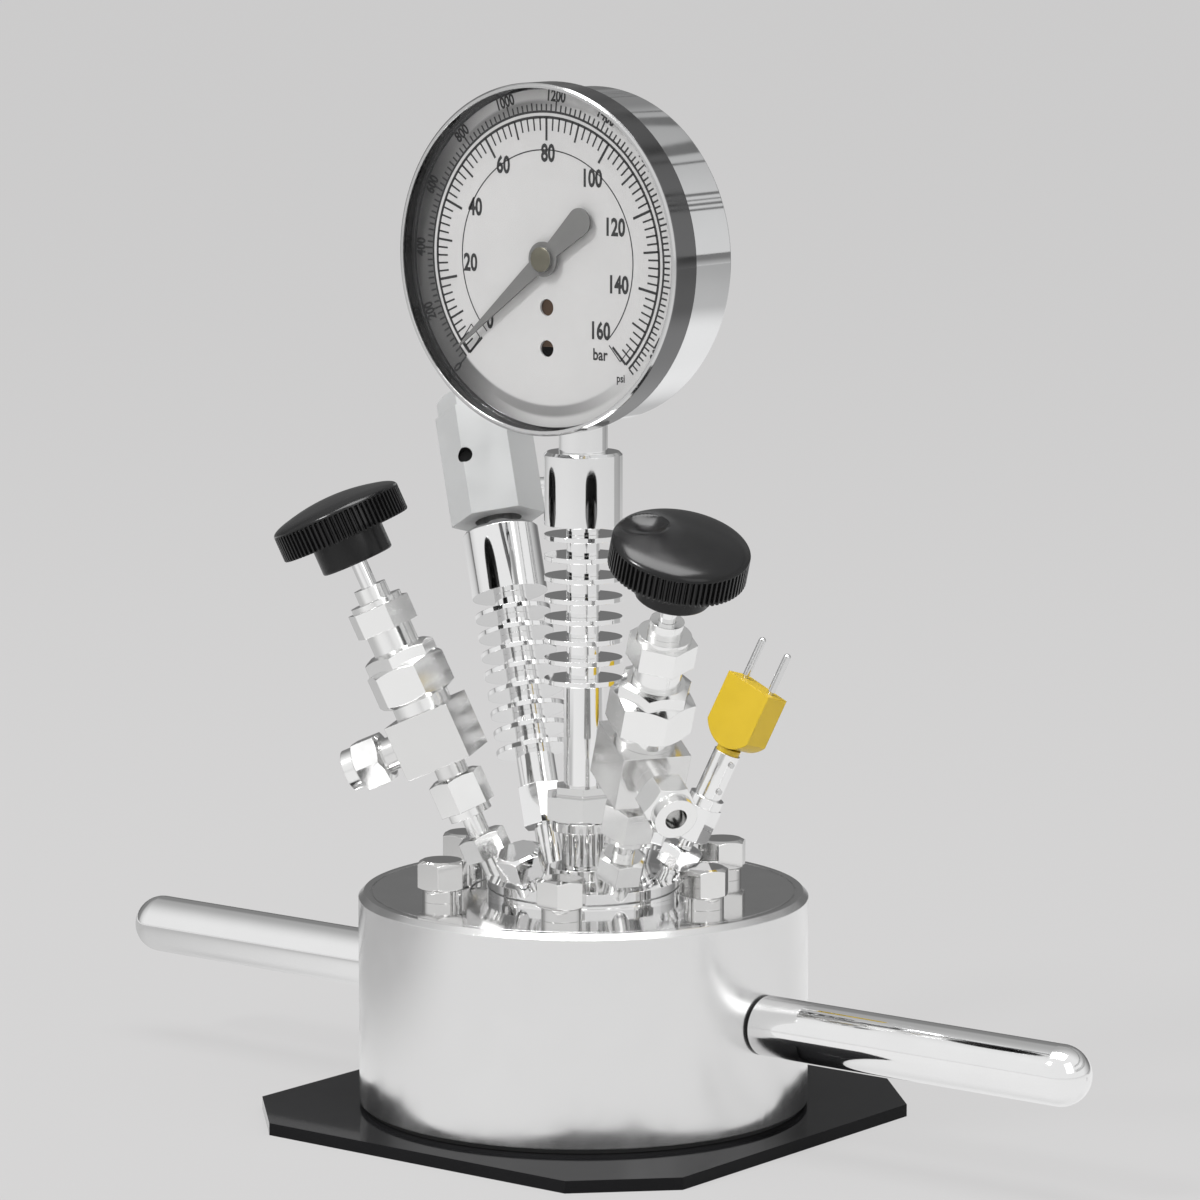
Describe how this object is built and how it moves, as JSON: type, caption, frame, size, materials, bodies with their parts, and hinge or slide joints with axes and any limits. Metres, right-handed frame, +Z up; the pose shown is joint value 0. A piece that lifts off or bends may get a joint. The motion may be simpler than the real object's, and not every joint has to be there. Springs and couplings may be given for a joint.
{
  "type": "hydrothermal reactor",
  "caption": "Small steel pressure reactor with a handled screw closure, leaning needle valves, finned relief line, probe port and dial pressure gauge on a finned riser.",
  "frame": {"origin": "centre of the base plate's lower face", "axes": "+Z up along the vessel axis, X along the two bar handles, the gauge dial faces -Y"},
  "size_m": [0.333, 0.1478, 0.2877],
  "materials": {
    "steel": "mirror-polished stainless steel",
    "dark_steel": "blackened steel screws",
    "plate": "black, glossy top, about 3.4 mm sheet",
    "glide": "matt black",
    "ptfe": "white fluoropolymer",
    "knob": "satin black, ribbed rim",
    "bronze": "bright",
    "case": "polished stainless steel",
    "bezel": "polished stainless steel",
    "dial": "matt white print ground",
    "pointer": "grey lacquer",
    "glass": "clear",
    "disc": "bright foil",
    "yellow": "satin yellow moulding"
  },
  "bodies": {
    "vessel": {"base_plate": "plate", "base_screws": "dark_steel", "glide_ring": "glide", "vessel_body": "steel", "liner": "ptfe", "seal_ring": "ptfe", "head": "steel", "thrust_ring": "steel", "dip_tube": "steel", "union_base": "steel", "union_nut": "steel", "gauge_riser": "steel", "gauge_socket": "steel", "bourdon_tube": "bronze", "gauge_movement": "bronze", "gauge_case": "case", "gauge_dial": "dial", "gauge_window": "glass", "gauge_bezel": "bezel", "relief_adapter": "steel", "relief_riser": "steel", "relief_body": "steel", "relief_disc": "disc", "relief_cap": "steel", "relief_outlet": "steel", "left_adapter": "steel", "left_lower_nut": "steel", "left_body": "steel", "left_bonnet": "steel", "left_gland": "steel", "left_side_nut": "steel", "right_adapter": "steel", "right_lower_nut": "steel", "right_body": "steel", "right_bonnet": "steel", "right_gland": "steel", "right_side_nut": "steel", "probe_adapter": "steel", "probe_nut": "steel", "probe_clamp": "steel", "probe_screws": "dark_steel", "probe_sheath": "steel", "connector_ring": "yellow", "connector": "yellow", "connector_pins": "steel", "front_plug": "steel", "rear_plug": "steel"},
    "closure": {"closure_nut": "steel", "handle_left": "steel", "handle_right": "steel", "thrust_bolts": "steel"},
    "left_valve_knob": {"left_spindle": "steel", "left_knob": "knob"},
    "right_valve_knob": {"right_spindle": "steel", "right_knob": "knob"},
    "pointer": {"gauge_pointer": "pointer"}
  },
  "joints": [
    {"name": "closure_turn", "type": "hinge", "parent": "vessel", "child": "closure", "pos_m": [0, 0, 0.00485], "axis": [0, 0, 1], "range_deg": [0, 360]},
    {"name": "left_valve_turn", "type": "hinge", "parent": "vessel", "child": "left_valve_knob", "pos_m": [-0.05454, -0.03149, 0.15419], "axis": [-0.3536, -0.2042, 0.9128], "range_deg": [0, 1080]},
    {"name": "right_valve_turn", "type": "hinge", "parent": "vessel", "child": "right_valve_knob", "pos_m": [0.05454, -0.03149, 0.15419], "axis": [0.3536, -0.2042, 0.9128], "range_deg": [0, 1080]},
    {"name": "pointer_turn", "type": "hinge", "parent": "vessel", "child": "pointer", "pos_m": [0, -0.016, 0.23986], "axis": [0, 1, 0], "range_deg": [-4.5, 265.5], "stiffness_Nm_per_rad": 0.02}
  ]
}
